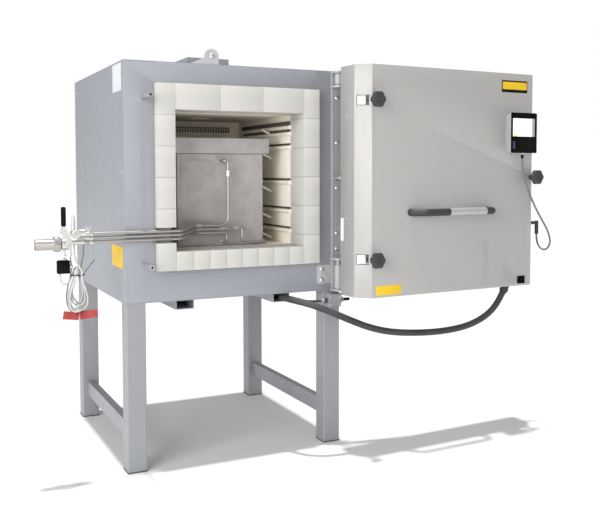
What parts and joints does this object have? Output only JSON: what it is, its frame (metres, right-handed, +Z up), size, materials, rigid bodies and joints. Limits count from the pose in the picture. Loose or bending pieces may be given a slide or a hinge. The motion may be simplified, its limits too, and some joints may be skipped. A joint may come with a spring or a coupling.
{
  "type": "muffle furnace",
  "caption": "Muffle furnace on a four-legged stand with a parallel-swing door and an annealing box with gas tubes in its brick chamber.",
  "frame": {"origin": "middle of the four feet, at floor level", "axes": "+X to the operator's right along the casing's front, +Y to the rear, +Z up"},
  "size_m": [2.0679, 1.1267, 1.539],
  "materials": {
    "leg_steel": "satin blue-grey paint",
    "foot_plastic": "dark moulded cap",
    "casing_paint": "satin light blue-grey paint",
    "insulation": "ceramic fibre board",
    "firebrick": "light refractory brick",
    "element_ceramic": "ceramic carrier tube",
    "bolt_steel": "plated steel",
    "arm_steel": "satin paint",
    "door_steel": "fine textured stainless sheet",
    "handle_dark": "dark grip ends",
    "handle_aluminium": "satin aluminium",
    "knob_plastic": "dark moulded knob",
    "controller_grey": "light grey moulding",
    "black_plastic": "black moulding",
    "screen_glass": "dark display glass",
    "gland_plastic": "cable gland",
    "switch_metal": "cast housing",
    "damper_steel": "bare steel",
    "box_steel": "heat-tinted sheet steel",
    "tube_steel": "drawn tube",
    "fitting_brass": "nickel-plated fitting",
    "conduit_black": "corrugated conduit",
    "conduit_grey": "light grey sheath"
  },
  "bodies": {
    "furnace": {"legs": "leg_steel", "leg_caps": "foot_plastic", "stretchers": "leg_steel", "floor_channels": "leg_steel", "floor_panel": "casing_paint", "roof_panel": "casing_paint", "side_panels": "casing_paint", "rear_panel": "casing_paint", "front_plate": "casing_paint", "backup_insulation": "insulation", "chamber_floor_bricks": "firebrick", "chamber_roof_bricks": "firebrick", "chamber_rear_bricks": "firebrick", "left_chamber_wall": "firebrick", "right_chamber_wall": "firebrick", "element_tubes": "element_ceramic", "sill_bricks": "firebrick", "lintel_bricks": "firebrick", "left_jamb_bricks": "firebrick", "right_jamb_bricks": "firebrick", "exhaust_housing": "casing_paint", "roof_bracket": "casing_paint", "hinge_column": "casing_paint", "column_bolts": "bolt_steel", "hinge_brackets": "casing_paint", "lugs": "casing_paint", "limit_switch": "switch_metal", "main_conduit": "conduit_black", "switch_conduit": "conduit_grey"},
    "upper_arm": {"upper_arm": "arm_steel"},
    "lower_arm": {"lower_arm": "arm_steel"},
    "door": {"door_shell": "door_steel", "door_insulation": "insulation", "door_brackets": "arm_steel", "handle_ends": "handle_dark", "handle_grip": "handle_aluminium", "controller_housing": "controller_grey", "controller_fascia": "black_plastic", "controller_screen": "screen_glass", "switch_bezel": "black_plastic", "door_glands": "gland_plastic", "controller_cable": "conduit_black"},
    "upper_left_knob": {"upper_left_knob": "knob_plastic"},
    "lower_left_knob": {"lower_left_knob": "knob_plastic"},
    "right_knob": {"right_knob": "knob_plastic"},
    "switch_rocker": {"switch_rocker": "black_plastic"},
    "switch_plunger": {"switch_plunger": "black_plastic"},
    "damper": {"damper": "damper_steel"},
    "annealing_box": {"box_body": "box_steel", "gas_tubes": "tube_steel", "round_fitting": "fitting_brass", "ball_valve": "fitting_brass", "large_pipe": "tube_steel", "sensor_plug": "black_plastic", "sensor_cable": "conduit_grey", "cable_hank": "conduit_grey"},
    "box_lid": {"box_lid": "box_steel"},
    "valve_lever": {"valve_lever": "fitting_brass", "lever_grip": "black_plastic"},
    "tap_wing": {"tap_wing": "fitting_brass"}
  },
  "joints": [
    {"name": "arm_swing", "type": "hinge", "parent": "furnace", "child": "upper_arm", "pos_m": [0.4025, -0.46, 1.435], "axis": [0, 0, 1], "range_deg": [-169.58, 0]},
    {"name": "lower_arm_swing", "type": "hinge", "parent": "furnace", "child": "lower_arm", "pos_m": [0.4025, -0.46, 0.666], "axis": [0, 0, 1], "range_deg": [-169.6, 0]},
    {"name": "door_pivot", "type": "hinge", "parent": "upper_arm", "child": "door", "pos_m": [0.79928, -0.52782, 1.435], "axis": [0, 0, 1], "range_deg": [0, 167.3]},
    {"name": "upper_left_knob_turn", "type": "hinge", "parent": "door", "child": "upper_left_knob", "pos_m": [0.43946, -0.68302, 1.342], "axis": [0.0419, -0.9991, 0], "continuous": true},
    {"name": "lower_left_knob_turn", "type": "hinge", "parent": "door", "child": "lower_left_knob", "pos_m": [0.43946, -0.68302, 0.749], "axis": [0.0419, -0.9991, 0], "continuous": true},
    {"name": "right_knob_turn", "type": "hinge", "parent": "door", "child": "right_knob", "pos_m": [1.22377, -0.65015, 1.053], "axis": [0.0419, -0.9991, 0], "continuous": true},
    {"name": "rocker_press", "type": "hinge", "parent": "door", "child": "switch_rocker", "pos_m": [1.1768, -0.61609, 0.6285], "axis": [0.9991, 0.0419, 0], "range_deg": [0, 10]},
    {"name": "plunger_press", "type": "slide", "parent": "furnace", "child": "switch_plunger", "axis": [1, 0, 0], "range_m": [-0.006, 0], "stiffness_N_per_m": 200},
    {"name": "damper_turn", "type": "hinge", "parent": "furnace", "child": "damper", "pos_m": [0.004, -0.06, 1.5045], "axis": [0, 1, 0], "range_deg": [-80, 0]},
    {"name": "box_slide", "type": "slide", "parent": "furnace", "child": "annealing_box", "axis": [0, -1, 0], "range_m": [0, 0.5]},
    {"name": "lid_lift", "type": "slide", "parent": "annealing_box", "child": "box_lid", "axis": [0, 0, 1], "range_m": [0, 0.06]},
    {"name": "valve_turn", "type": "hinge", "parent": "annealing_box", "child": "valve_lever", "pos_m": [-0.636, -0.455, 0.834], "axis": [0, -1, 0], "range_deg": [0, 90]},
    {"name": "tap_turn", "type": "hinge", "parent": "annealing_box", "child": "tap_wing", "pos_m": [-0.563, -0.437, 0.88], "axis": [0, 0, 1], "range_deg": [0, 90]}
  ],
  "couplings": [
    {"joint": "lower_arm_swing", "follows": "arm_swing", "ratio": 1},
    {"joint": "door_pivot", "follows": "arm_swing", "ratio": -0.98585}
  ]
}
